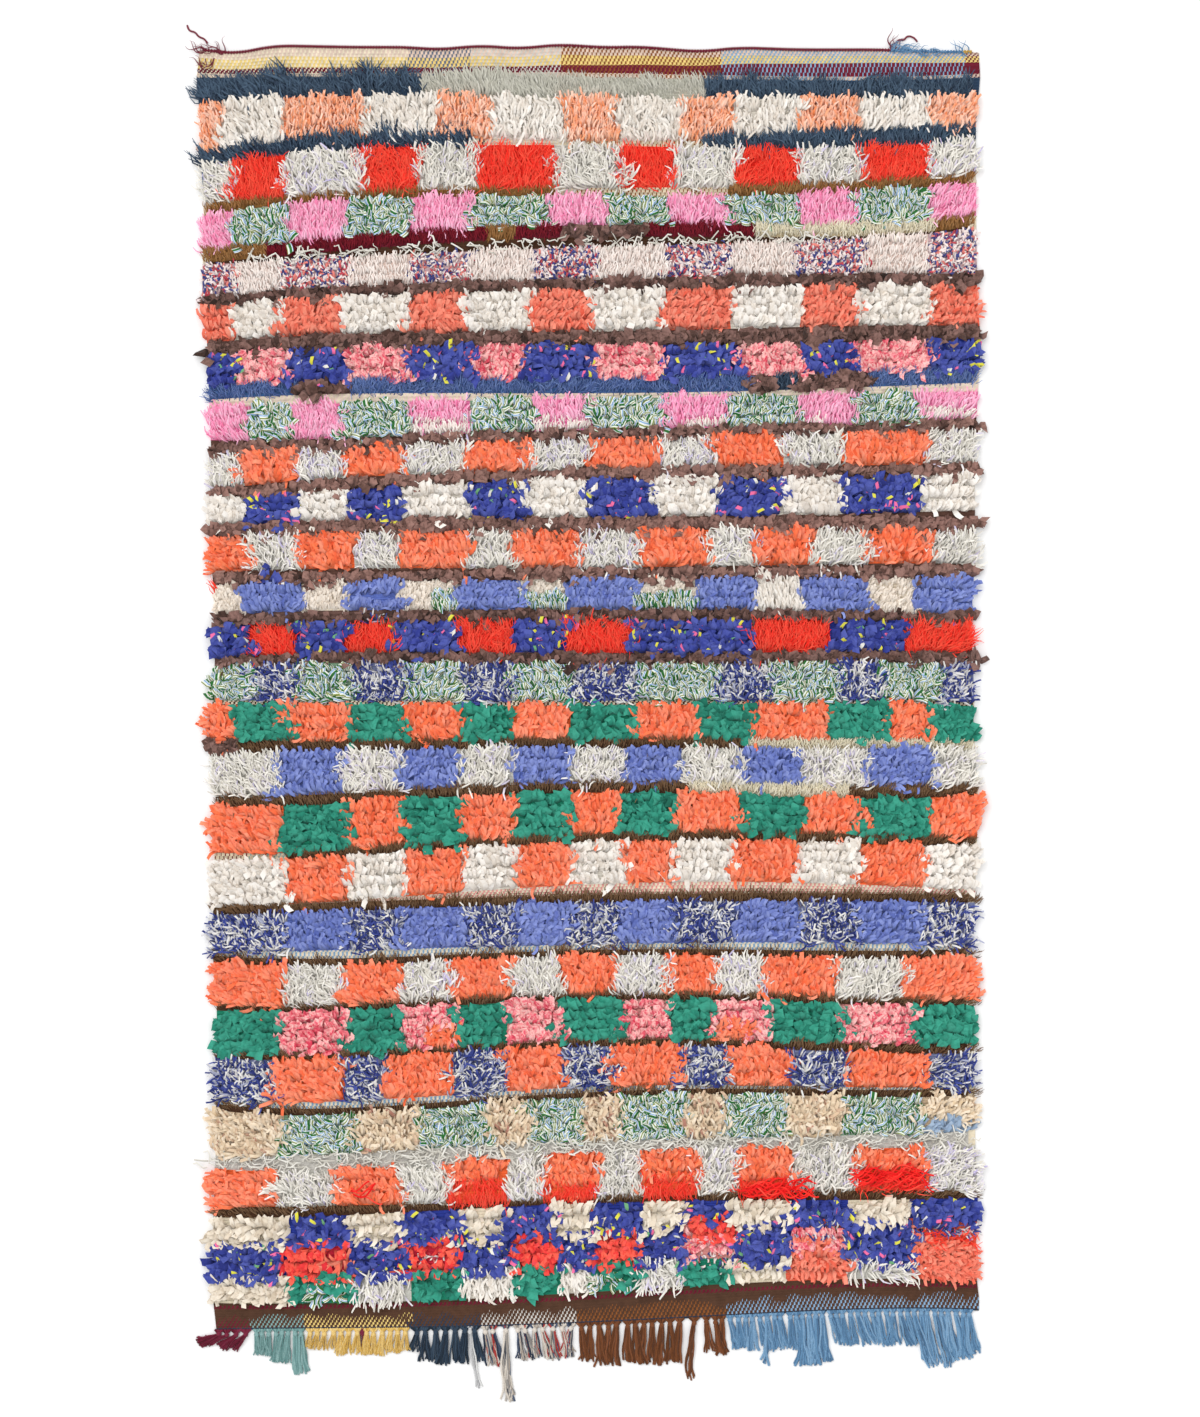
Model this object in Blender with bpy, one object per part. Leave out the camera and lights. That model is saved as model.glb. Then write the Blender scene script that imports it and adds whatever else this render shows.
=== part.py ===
"""A boucherouite rug lying flat: one hand-woven cloth whose pile is knotted from cut
rags in long bands, with its twined starting cord, its knotted warp fringe and two
loose yarn tails where the weaver tied off.

Every table is in centimetres. Across is counted from the weaver's left-hand edge,
and down is counted from the starting edge towards the fringe."""

from collections import namedtuple

import bmesh
import bpy
from mathutils import Vector, noise

CM = 0.01

# Driving dimensions
WIDTH = 150.0  # a hand loom's cloth width
PILE = 2.8  # tips of the rag pile, above the floor
WOOL = 1.5  # the short wool rows between the bands
FLAT_WEAVE = 0.6  # the woven ends without pile
SHOULDER = 0.9  # how far a band's pile leans out at its edges
UNEVEN = 0.35  # how much the pile's height wanders
COLUMNS = 22  # divisions across the cloth
GAP = 0.03  # between pieces that touch

CORD_RADIUS = 0.35
TAIL_RADIUS = 0.18
FRINGE_THICK = 1.3
KNOT_ROW = 1.1  # the closed row of knots that the tassels hang from
TASSEL_SHARE = 0.85  # of the pitch from tassel to tassel; the rest is open

# Where the cloth's two sides wander to as it grows longer
Side = namedtuple("Side", "down left right")
SIDES = [
    Side(0, 0.0, 149.4),
    Side(10, -1.4, 150.3),
    Side(30, -0.6, 150.3),
    Side(49, -1.0, 150.6),
    Side(57, 0.0, 151.3),
    Side(78, 0.8, 150.0),
    Side(97, 0.6, 150.2),
    Side(111, 1.8, 149.4),
    Side(126, 1.2, 150.0),
    Side(131, 0.1, 149.8),
    Side(145, 1.7, 150.8),
    Side(174, 1.0, 149.8),
    Side(184, 1.9, 149.8),
    Side(213, 1.7, 150.2),
    Side(222, 1.4, 150.7),
    Side(233, 1.0, 150.3),
    Side(249, 2.7, 150.0),
]

# The two woven ends: how far down they are at the left, in the middle and at the right
TOP_EDGE = (0.4, 0.2, 1.0)
BOTTOM_EDGE = (248.1, 246.7, 244.2)

# The bands of rag pile: where each begins and ends at the left, middle and right
Band = namedtuple("Band", "from_left from_middle from_right to_left to_middle to_right")
BANDS = [
    Band(6.0, 6.0, 5.4, 10.2, 9.5, 9.4),
    Band(11.0, 9.8, 9.7, 20.5, 17.8, 15.2),
    Band(22.3, 18.8, 17.8, 30.0, 27.1, 25.0),
    Band(32.3, 28.8, 26.3, 39.1, 34.4, 32.5),
    Band(41.4, 38.5, 34.8, 48.8, 44.9, 43.7),
    Band(49.5, 46.8, 45.9, 57.1, 54.8, 53.8),
    Band(59.4, 57.3, 56.1, 65.6, 64.2, 62.3),
    Band(69.7, 67.7, 66.2, 75.9, 73.9, 71.6),
    Band(78.8, 75.9, 73.9, 85.5, 81.7, 80.3),
    Band(87.3, 83.6, 82.6, 92.3, 90.8, 89.4),
    Band(94.6, 93.3, 93.8, 101.4, 100.4, 99.7),
    Band(103.9, 102.9, 102.4, 109.7, 108.6, 109.7),
    Band(111.6, 110.7, 110.7, 118.0, 116.9, 116.5),
    Band(120.0, 119.4, 119.4, 126.3, 126.3, 126.3),
    Band(127.1, 127.3, 127.3, 133.9, 133.9, 133.9),
    Band(136.8, 135.5, 135.5, 144.9, 142.2, 142.6),
    Band(146.7, 144.2, 144.5, 155.6, 152.3, 152.9),
    Band(157.1, 153.8, 154.2, 166.2, 162.3, 163.5),
    Band(167.8, 165.4, 165.4, 174.9, 173.6, 173.6),
    Band(176.9, 175.7, 175.9, 184.8, 183.2, 183.8),
    Band(186.1, 184.2, 185.2, 193.9, 192.0, 192.5),
    Band(195.4, 193.3, 194.5, 203.2, 201.6, 201.0),
    Band(205.5, 203.0, 202.6, 214.2, 211.7, 208.8),
    Band(216.7, 213.6, 212.3, 224.3, 222.5, 221.0),
    Band(226.2, 223.5, 222.3, 230.9, 228.6, 226.7),
    Band(231.2, 228.9, 227.0, 237.2, 234.8, 232.6),
    Band(237.5, 235.1, 232.9, 242.6, 240.5, 238.2),
]

# The fringe: groups of warp ends, knotted off tassel by tassel
Group = namedtuple("Group", "start stop reach lean tassels")
FRINGE = [
    Group(2.8, 9.2, 253.3, -5.2, 3),
    Group(9.4, 19.4, 254.5, -0.8, 4),
    Group(19.6, 39.9, 252.6, 0.3, 8),
    Group(40.1, 53.4, 254.2, 0.2, 5),
    Group(53.6, 57.4, 255.0, 0.2, 1),
    Group(57.6, 60.2, 263.4, -0.4, 1),
    Group(60.4, 72.0, 253.8, -0.3, 4),
    Group(72.2, 101.0, 254.6, 0.2, 12),
    Group(101.2, 149.6, 253.4, 1.0, 16),
]

# The loose yarn tails at the corners: how far across and down is each point they pass through
LEFT_TAIL = [(0.9, -0.9), (0.2, -1.7), (-0.8, -2.2), (-1.6, -3.0), (-2.6, -3.4), (-3.1, -4.4)]
RIGHT_TAIL = [(134.0, -0.8), (134.6, -1.5), (135.6, -1.6), (136.3, -2.2), (137.4, -2.0), (138.2, -1.2)]


def new_material(name, colour, roughness):
    """A plain cloth or yarn finish."""
    material = bpy.data.materials.new(name)
    material.use_nodes = True
    shader = material.node_tree.nodes["Principled BSDF"]
    shader.inputs["Base Color"].default_value = (*colour, 1.0)
    shader.inputs["Roughness"].default_value = roughness
    shader.inputs["Metallic"].default_value = 0.0
    return material


def new_object(name, data, material, rug):
    """One piece of the rug, under the empty that centres it."""
    piece = bpy.data.objects.new(name, data)
    data.materials.append(material)
    rug.users_collection[0].objects.link(piece)
    piece.parent = rug
    return piece


def between(low, high, share):
    return low + (high - low) * share


def across_at(down, share):
    """A place between the cloth's two sides, this far down."""
    for above, below in zip(SIDES, SIDES[1:]):
        if down <= below.down:
            break
    along = min(max((down - above.down) / (below.down - above.down), 0.0), 1.0)
    return between(between(above.left, below.left, along), between(above.right, below.right, along), share)


def sagging(left, middle, right, share):
    """A woven line that runs through three heights, as a curve."""
    bend = middle - (left + right) / 2
    return between(left, right, share) + 4 * bend * share * (1 - share)


def place(across, down, height):
    """A spot on the rug as a point of the model: the starting edge faces +Y."""
    return Vector((across, -down, height)) * CM


def woven_lines():
    """The lines across the cloth that its surface is made from: three places down, and a height."""
    lines = [(*TOP_EDGE, FLAT_WEAVE)]
    for band in BANDS:
        start, stop = band[:3], band[3:]
        lines.append((*start, WOOL))
        lines.append((*(down + SHOULDER for down in start), PILE))
        lines.append((*(down - SHOULDER for down in stop), PILE))
        lines.append((*stop, WOOL))
    last = BANDS[-1][3:]
    lines.append((*(down + SHOULDER for down in last), FLAT_WEAVE))
    lines.append((*BOTTOM_EDGE, FLAT_WEAVE))
    return lines


def add_rug_body(rug):
    """The cloth with its pile: a ridge for each band, and a flat underside."""
    lines = woven_lines()
    rows = len(lines) - 1
    mesh = bpy.data.meshes.new("rug_body")
    bm = bmesh.new()
    bmesh.ops.create_grid(bm, x_segments=COLUMNS, y_segments=rows, size=0.5)
    for vert in bm.verts:
        share = vert.co.x + 0.5
        *downs, height = lines[round((0.5 - vert.co.y) * rows)]
        down = sagging(*downs, share)
        across = across_at(down, share)
        if height == PILE:
            height += UNEVEN * noise.noise(Vector((across / 7, down / 3, 0)))
        vert.co = place(across, down, height)

    rim = [edge for edge in bm.edges if edge.is_boundary]
    skirt = bmesh.ops.extrude_edge_only(bm, edges=rim)["geom"]
    feet = [part for part in skirt if isinstance(part, bmesh.types.BMVert)]
    for vert in feet:
        vert.co.z = 0.0
    bmesh.ops.contextual_create(bm, geom=[edge for edge in bm.edges if edge.is_boundary])
    bmesh.ops.recalc_face_normals(bm, faces=bm.faces)
    bm.to_mesh(mesh)
    bm.free()
    new_object("rug_body", mesh, new_material("rag_pile", (0.62, 0.42, 0.35), 0.95), rug)


def add_yarn(name, points, radius, material, rug):
    """A round yarn or cord lying on the floor along these points."""
    curve = bpy.data.curves.new(name, "CURVE")
    curve.dimensions = "3D"
    curve.bevel_depth = radius * CM
    curve.bevel_resolution = 2
    curve.use_fill_caps = True
    spline = curve.splines.new("POLY")
    spline.points.add(len(points) - 1)
    for point, (across, down) in zip(spline.points, points):
        point.co = (*place(across, down, radius), 1.0)
    new_object(name, curve, material, rug)


def add_starting_cord(rug):
    """The twined cord that the weaving starts from, laid against the cloth's first row."""
    points = []
    for step in range(2 * COLUMNS + 1):
        share = step / (2 * COLUMNS)
        down = sagging(*TOP_EDGE, share)
        points.append((across_at(down, share), down - CORD_RADIUS - 2 * GAP))
    add_yarn("starting_cord", points, CORD_RADIUS, new_material("twined_wool", (0.16, 0.03, 0.06), 0.9), rug)


def tassel_outline(start, stop, root, reach, lean):
    """One tassel, from its knot at the right round its tip to its knot at the left."""
    width = stop - start
    return [
        (stop, root),
        (stop + lean, between(root, reach, 0.8)),
        (stop + lean - 0.2 * width, reach),
        (start + lean + 0.3 * width, reach + 0.3),
        (start + lean, between(root, reach, 0.85)),
        (start, root),
    ]


def fringe_outline():
    """The comb: along the cloth's last row, and back round every tassel."""
    outline = []
    for step in range(COLUMNS + 1):
        share = step / COLUMNS
        down = sagging(*BOTTOM_EDGE, share)
        outline.append((across_at(down, share), down + GAP))
    for group in reversed(FRINGE):
        pitch = (group.stop - group.start) / group.tassels
        for turn in reversed(range(group.tassels)):
            left = group.start + turn * pitch
            root = sagging(*BOTTOM_EDGE, left / WIDTH) + KNOT_ROW
            wander = noise.noise(Vector((left / 2, 0, 0)))
            reach = group.reach + 1.5 * wander
            lean = group.lean + 0.15 * wander
            outline += tassel_outline(left, left + TASSEL_SHARE * pitch, root, reach, lean)
    return outline


def add_fringe(rug):
    """The warp ends below the cloth, as one flat comb of tassels."""
    curve = bpy.data.curves.new("fringe", "CURVE")
    curve.dimensions = "2D"
    curve.fill_mode = "BOTH"
    curve.extrude = FRINGE_THICK / 2 * CM
    outline = fringe_outline()
    spline = curve.splines.new("POLY")
    spline.points.add(len(outline) - 1)
    for point, (across, down) in zip(spline.points, outline):
        point.co = (*place(across, down, 0.0), 1.0)
    spline.use_cyclic_u = True
    fringe = new_object("fringe", curve, new_material("warp_yarn", (0.28, 0.26, 0.26), 0.9), rug)
    fringe.location.z = FRINGE_THICK / 2 * CM


def centre(rug, pieces):
    """Moves the whole rug so that the box round these pieces stands on the origin."""
    bpy.context.view_layer.update()
    evaluated = [piece.evaluated_get(bpy.context.evaluated_depsgraph_get()) for piece in pieces]
    corners = [piece.matrix_world @ Vector(corner) for piece in evaluated for corner in piece.bound_box]
    for axis in (0, 1):
        values = [corner[axis] for corner in corners]
        rug.location[axis] = -(min(values) + max(values)) / 2


def main():
    for old in list(bpy.data.objects):
        bpy.data.objects.remove(old)
    collection = bpy.data.collections.new("boucherouite_rug")
    bpy.context.scene.collection.children.link(collection)
    rug = bpy.data.objects.new("rug", None)
    collection.objects.link(rug)

    add_rug_body(rug)
    add_starting_cord(rug)
    add_fringe(rug)
    centre(rug, [piece for piece in collection.objects if piece.type != "EMPTY"])
    tail_yarn = new_material("loose_wool", (0.16, 0.03, 0.06), 0.9)
    add_yarn("corner_tail_left", LEFT_TAIL, TAIL_RADIUS, tail_yarn, rug)
    add_yarn("corner_tail_right", RIGHT_TAIL, TAIL_RADIUS, tail_yarn, rug)


main()
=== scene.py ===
import math
from collections import namedtuple

import bmesh
import bpy
import numpy as np
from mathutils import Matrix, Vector, noise


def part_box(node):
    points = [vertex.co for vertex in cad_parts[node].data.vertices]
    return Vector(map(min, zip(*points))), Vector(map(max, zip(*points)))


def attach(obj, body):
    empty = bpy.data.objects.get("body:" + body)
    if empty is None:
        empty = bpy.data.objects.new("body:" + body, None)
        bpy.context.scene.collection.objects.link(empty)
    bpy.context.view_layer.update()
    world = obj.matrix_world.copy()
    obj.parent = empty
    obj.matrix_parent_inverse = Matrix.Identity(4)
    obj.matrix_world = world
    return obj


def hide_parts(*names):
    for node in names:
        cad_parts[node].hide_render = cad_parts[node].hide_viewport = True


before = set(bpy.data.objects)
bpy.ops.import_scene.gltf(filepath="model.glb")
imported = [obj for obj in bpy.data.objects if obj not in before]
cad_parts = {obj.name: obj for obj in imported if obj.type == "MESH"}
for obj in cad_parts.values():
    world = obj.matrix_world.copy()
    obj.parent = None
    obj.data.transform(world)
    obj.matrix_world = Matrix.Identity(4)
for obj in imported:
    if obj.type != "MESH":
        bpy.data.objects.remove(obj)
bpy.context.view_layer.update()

# The floor, the light and the camera. A pale matt studio floor, a broad soft sky and one large
# lamp from the head of the rug, and a long lens straight above it.
CM = 0.01
scene = bpy.context.scene
scene.view_settings.view_transform = "Standard"


def linear(hex_colour):
    """An sRGB hex colour as the linear RGBA that a shader takes."""
    channels = [int(hex_colour[i : i + 2], 16) / 255 for i in (0, 2, 4)]
    return (*(c / 12.92 if c <= 0.04045 else ((c + 0.055) / 1.055) ** 2.4 for c in channels), 1.0)


def plug(node, inputs):
    """Sets a node's inputs, or links them to a socket or to another node's first output."""
    for key, value in inputs.items():
        if isinstance(value, bpy.types.Node):
            value = value.outputs[0]
        if isinstance(value, bpy.types.NodeSocket):
            node.id_data.links.new(value, node.inputs[key])
        else:
            node.inputs[key].default_value = value


def add_node(material, kind, inputs=(), stops=(), **settings):
    """A node of this kind with its settings, its ramp's stops, and its inputs set or linked.

    A Mix node's two colours go in at 6 and 7, and the mixed one comes out at 2.
    """
    node = material.node_tree.nodes.new(f"ShaderNode{kind}")
    for name, value in settings.items():
        setattr(node, name, value)
    for number, (place, hex_colour) in enumerate(stops):
        ramp = node.color_ramp
        stop = ramp.elements[number] if number < 2 else ramp.elements.new(place)
        stop.position = place
        stop.color = linear(hex_colour)
    plug(node, dict(inputs))
    return node


def new_material(name, roughness, specular, sheen=0.0):
    """A material of this name, and its shader with these even values."""
    material = bpy.data.materials.new(name)
    material.use_nodes = True
    shader = material.node_tree.nodes["Principled BSDF"]
    plug(shader, {"Roughness": roughness, "Specular IOR Level": specular, "Sheen Weight": sheen})
    return material, shader


FLOOR_SIZE = 12.0
bm = bmesh.new()
bmesh.ops.create_grid(bm, x_segments=1, y_segments=1, size=FLOOR_SIZE / 2)
mesh = bpy.data.meshes.new("studio_floor")
bm.to_mesh(mesh)
bm.free()
floor = bpy.data.objects.new("studio_floor", mesh)
scene.collection.objects.link(floor)
material, shader = new_material("white_paper", roughness=0.9, specular=0.1)
plug(shader, {"Base Color": linear("FAFAFA")})
mesh.materials.append(material)

world = bpy.data.worlds.new("soft_sky")
world.use_nodes = True
plug(world.node_tree.nodes["Background"], {"Color": linear("FFFFFF"), "Strength": 0.9})
scene.world = world
lamp_data = bpy.data.lights.new("soft_box", "SUN")
lamp_data.energy = 1.15
lamp_data.angle = math.radians(50)
lamp = bpy.data.objects.new("soft_box", lamp_data)
lamp.rotation_euler = (math.radians(-28), math.radians(-22), 0)
scene.collection.objects.link(lamp)

VIEW_LENGTH = 2.742  # metres of floor from the view's top to its bottom
CAMERA_HEIGHT = 8.0
SENSOR = 36.0
camera_data = bpy.data.cameras.new("camera")
camera_data.sensor_width = SENSOR
camera_data.lens = SENSOR * CAMERA_HEIGHT / VIEW_LENGTH
camera = bpy.data.objects.new("camera", camera_data)
scene.collection.objects.link(camera)
scene.camera = camera

# The woven ground. Wool wefts beaten down over warps of seven colours, one cloth from the
# starting cord to the fringe. The chart gives each row as it was woven: what it is, how far down
# it ends at five places across, its yarns or cloths in turn, and where one gives way to the next.
Row = namedtuple("Row", "kind feet yarns seams", defaults=[()])
CHART_WIDTH = 150.0  # centimetres, like all of the chart
STATIONS = (1.4, 38.1, 74.9, 111.7, 148.5)
START = (0.4, 0.0, 0.2, 0.4, 1.0)
CHART = [
    Row("chequer", (1.9, 1.8, 1.7, 1.6, 1.7), "oatmeal"),
    Row("chequer", (4.0, 3.8, 3.5, 3.1, 2.9), "straw"),
    Row("twill", (4.9, 4.8, 4.9, 5.5, 5.1), "maroon"),
    Row("chequer", (5.8, 5.6, 5.8, 6.3, 5.8), "oatmeal"),
    Row("shag", (10.6, 9.3, 9.7, 9.9, 9.6), "navy grey navy", (42.5, 97.0)),
    Row("rags", (20.7, 17.2, 18.0, 16.9, 15.3), "peach ivory",
        (4.0, 15.5, 31.0, 45.0, 56.0, 70.0, 80.0, 92.5, 102.5, 115.5, 126.5, 140.0)),
    Row("shag", (22.4, 19.2, 18.9, 19.4, 17.8), "navy bare navy", (52.0, 97.0)),
    Row("rags", (30.0, 27.7, 27.1, 26.7, 24.5), "greywhite red",
        (6.0, 16.0, 31.0, 42.0, 53.0, 67.5, 81.0, 91.0, 102.5, 115.0, 127.5, 139.5)),
    Row("wool", (32.3, 29.0, 28.8, 28.5, 26.2), "camel bare camel", (68.0, 102.0)),
    Row("rags", (39.1, 36.0, 34.3, 34.3, 32.6), "pink leafprint",
        (6.0, 16.5, 28.5, 40.5, 52.5, 66.5, 78.5, 90.0, 101.5, 115.0, 126.5, 139.5)),
    Row("wool", (41.4, 38.3, 36.6, 36.6, 34.6), "camel maroon camel maroon taupe maroon khaki camel",
        (12.5, 55.0, 60.5, 69.0, 85.5, 106.5, 141.5)),
    Row("loops", (41.9, 40.0, 38.6, 37.6, 35.2), "umber"),
    Row("rags", (48.8, 45.7, 44.9, 43.9, 43.9), "confetti blush",
        (6.5, 15.5, 28.0, 40.0, 51.5, 64.0, 76.5, 89.5, 102.5, 114.5, 127.5, 140.5)),
    Row("rags", (50.1, 47.8, 46.8, 46.3, 45.9), "taupe"),
    Row("rags", (57.1, 55.2, 54.9, 54.1, 53.8), "coral linen",
        (6.5, 15.5, 27.0, 40.0, 51.0, 63.5, 75.0, 89.0, 102.5, 115.5, 126.5, 140.5)),
    Row("rags", (59.4, 57.6, 57.4, 57.4, 56.1), "taupe"),
    Row("rags", (65.6, 64.4, 64.2, 63.3, 62.3), "blueprint strawberry",
        (6.5, 16.5, 27.5, 40.0, 52.0, 61.5, 75.5, 89.0, 103.5, 115.5, 126.0, 140.5)),
    Row("wool", (68.1, 66.8, 66.8, 66.2, 64.8), "denim taupe denim taupe navy taupe denim",
        (18.5, 28.5, 105.5, 110.5, 115.0, 129.0)),
    Row("flecks", (69.7, 68.5, 67.9, 67.3, 66.5), "cream blush"),
    Row("rags", (75.9, 75.1, 73.9, 73.3, 71.6), "pink leafprint",
        (9.0, 17.5, 27.0, 40.0, 51.5, 64.0, 75.0, 89.0, 101.5, 115.0, 126.0, 137.5)),
    Row("rags", (78.8, 77.0, 75.7, 74.9, 73.9), "chocolate"),
    Row("rags", (85.5, 82.6, 81.7, 81.1, 80.3), "greywhite orange",
        (7.5, 18.5, 27.5, 38.5, 51.0, 63.0, 74.5, 87.5, 99.5, 112.5, 123.5, 139.5)),
    Row("rags", (87.2, 84.9, 83.4, 83.0, 82.6), "chocolate"),
    Row("rags", (92.3, 91.3, 90.8, 90.4, 89.4), "linen blueprint",
        (8.5, 18.5, 28.5, 38.5, 51.5, 61.5, 75.0, 86.5, 99.5, 111.5, 124.0, 138.5)),
    Row("rags", (94.4, 93.7, 93.3, 93.3, 93.8), "chocolate"),
    Row("rags", (101.4, 100.6, 100.5, 100.0, 99.8), "orange greywhite",
        (9.5, 18.5, 29.5, 38.5, 51.0, 60.0, 72.5, 84.5, 97.5, 107.0, 117.5, 128.0, 140.0)),
    Row("rags", (103.9, 103.3, 102.8, 102.8, 102.4), "chocolate"),
    Row("rags", (109.7, 108.7, 108.7, 108.9, 109.9), "calico periwinkle",
        (8.0, 19.5, 28.0, 38.5, 49.0, 61.5, 70.5, 83.0, 95.5, 107.0, 115.5, 128.0, 137.5)),
    Row("rags", (111.6, 111.2, 110.7, 110.7, 110.6), "taupe"),
    Row("rags", (118.2, 116.9, 117.0, 116.9, 116.5), "blueprint red",
        (9.5, 18.0, 27.5, 37.0, 49.5, 60.5, 70.0, 83.0, 106.5, 121.5, 136.0)),
    Row("rags", (119.9, 119.0, 119.3, 119.0, 119.4), "taupe"),
    Row("rags", (126.3, 126.3, 126.3, 126.3, 126.3), "leafprint navymarl",
        (9.5, 18.5, 29.0, 40.0, 49.5, 60.0, 71.0, 84.0, 100.0, 110.0, 123.0, 131.5, 142.5)),
    Row("flecks", (127.1, 127.3, 127.3, 126.9, 127.3), "cream umber"),
    Row("rags", (133.9, 134.1, 133.9, 133.9, 133.9), "orange emerald",
        (6.5, 17.0, 28.5, 39.0, 50.0, 59.5, 71.0, 84.0, 96.0, 105.5, 121.5, 132.0, 140.5)),
    Row("wool", (136.8, 135.8, 135.5, 135.5, 135.5), "umber khaki", (105.0,)),
    Row("rags", (144.9, 143.6, 142.2, 142.6, 142.6), "greywhite periwinkle",
        (15.0, 27.0, 38.5, 49.0, 60.0, 71.0, 81.5, 92.5, 104.5, 115.5, 128.5, 140.5)),
    Row("wool", (146.7, 145.5, 144.1, 144.8, 144.5), "umber khaki umber", (94.0, 125.0)),
    Row("rags", (155.6, 154.6, 152.3, 151.9, 152.9), "orange emerald",
        (15.5, 28.5, 39.0, 50.0, 60.5, 71.0, 80.5, 91.5, 104.0, 116.0, 127.5, 140.0)),
    Row("wool", (157.1, 155.6, 153.6, 153.6, 154.2), "bare umber", (16.5,)),
    Row("rags", (166.0, 164.2, 161.8, 161.4, 162.7), "linen orange",
        (16.5, 28.0, 39.5, 50.0, 61.0, 71.0, 82.0, 91.0, 102.5, 114.5, 127.0, 139.0)),
    Row("flecks", (166.3, 164.9, 163.9, 163.5, 163.9), "cream strawberry"),
    Row("wool", (167.6, 166.6, 165.4, 165.1, 165.3), "umber"),
    Row("rags", (174.7, 174.3, 173.4, 173.0, 173.5), "navymarl periwinkle",
        (17.0, 28.5, 38.5, 50.5, 61.0, 71.0, 81.0, 91.0, 103.0, 115.0, 126.5, 139.0)),
    Row("flecks", (175.5, 175.8, 174.5, 174.5, 174.2), "cream sky"),
    Row("wool", (176.7, 177.1, 175.6, 175.9, 175.9), "umber"),
    Row("rags", (185.0, 184.7, 183.2, 183.5, 183.8), "orange greywhite",
        (16.0, 27.0, 38.5, 48.5, 59.5, 69.5, 80.0, 90.0, 99.0, 108.5, 122.0, 135.0)),
    Row("wool", (186.1, 185.8, 184.2, 184.6, 185.2), "umber"),
    Row("rags", (194.1, 193.9, 192.0, 192.1, 192.5), "emerald strawberry",
        (15.0, 27.5, 38.5, 49.0, 58.5, 69.0, 81.5, 90.0, 98.5, 109.5, 123.5, 137.0)),
    Row("wool", (195.3, 194.9, 193.2, 193.7, 194.5), "umber"),
    Row("rags", (203.0, 203.2, 201.0, 200.8, 200.6), "navymarl orange",
        (14.0, 27.5, 36.0, 48.0, 58.5, 69.5, 79.5, 92.0, 101.5, 114.0, 124.5, 139.0)),
    Row("flecks", (204.1, 204.5, 202.0, 201.4, 201.2), "cream sky"),
    Row("wool", (205.3, 205.7, 203.0, 202.6, 202.6), "umber"),
    Row("rags", (214.2, 213.2, 211.5, 210.7, 208.8), "sand leafprint",
        (15.5, 29.5, 42.0, 55.5, 63.0, 73.0, 80.5, 93.5, 101.0, 112.5, 123.5, 138.5)),
    Row("loops", (216.7, 216.3, 213.6, 212.8, 212.3), "chalk"),
    Row("rags", (224.3, 223.7, 222.6, 221.4, 221.0), "orange greywhite",
        (14.5, 25.5, 38.5, 47.5, 59.0, 66.0, 76.0, 85.0, 95.5, 103.5, 113.5, 126.0, 138.5)),
    Row("wool", (226.2, 225.3, 223.5, 222.9, 222.4), "umber"),
    Row("rags", (231.0, 230.3, 228.7, 226.8, 226.8), "cream blueprint",
        (16.5, 28.5, 38.5, 49.0, 58.0, 68.0, 76.5, 85.0, 93.5, 102.5, 112.5, 125.0, 137.0)),
    Row("rags", (237.4, 236.8, 234.9, 234.1, 236.6),
        "blueprint crimson " * 4 + "blueprint strawberry blueprint coral blueprint coral",
        (16.0, 28.5, 38.5, 49.0, 59.5, 69.0, 76.5, 84.0, 93.5, 103.5, 113.5, 124.0, 137.0)),
    Row("rags", (242.8, 242.5, 240.7, 238.6, 238.4),
        "cream emerald greywhite emerald ivory emerald ivory emerald greywhite emerald cream coral "
        "greywhite coral",
        (16.5, 30.0, 40.0, 50.5, 60.0, 69.0, 76.5, 84.5, 93.0, 101.5, 112.5, 124.5, 137.0)),
    Row("flat", (243.3, 242.9, 241.4, 239.5, 239.2), "bistre"),
    Row("flecks", (244.0, 243.6, 242.1, 240.2, 239.9), "maroon bistre"),
    Row("flat", (245.0, 244.6, 243.2, 241.1, 240.6), "bistre"),
    Row("fade", (247.7, 247.3, 246.3, 244.4, 243.8), "bistre"),
    Row("dashes", (248.1, 247.7, 246.7, 244.8, 244.2), "ink bistre"),
]
# The warps, by where each colour ends across the loom
WARPS = {
    "maroon": 8.5, "teal": 19.5, "straw": 40.0, "ink": 54.0, "chalk": 72.0, "russet": 101.0, "sky": 152.0,
}
HEAD_WARPS = {"cream": 40.0, "slate": 52.0, "chalk": 69.0, "russet": 100.0, "sky": 147.4, "maroon": 152.0}
# Where the two sides wander to: down, left and right
SIDES = np.array([
    (0, 0.0, 149.4), (10, -1.4, 150.3), (30, -0.6, 150.3), (49, -1.0, 150.6), (57, 0.0, 151.3),
    (78, 0.8, 150.0), (97, 0.6, 150.2), (111, 1.8, 149.4), (126, 1.2, 150.0), (131, 0.1, 149.8),
    (145, 1.7, 150.8), (174, 1.0, 149.8), (184, 1.9, 149.8), (213, 1.7, 150.2), (222, 1.4, 150.7),
    (233, 1.0, 150.3), (249, 2.7, 150.0),
])
# How the head of the rug waves: across, and how far down it lies
HEAD_WAVE = np.array([
    (-2, 0.3), (0, 0.3), (6, 1.2), (14, -0.4), (30, -0.1), (40, -0.1), (45, 0.4), (54, -0.4), (61, 0.2),
    (69, -0.6), (78, 0.0), (84, -0.2), (96, 0.8), (104, 0.0), (115, 0.4), (131, 0.4), (142, 0.8), (152, 0.8),
])
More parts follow.
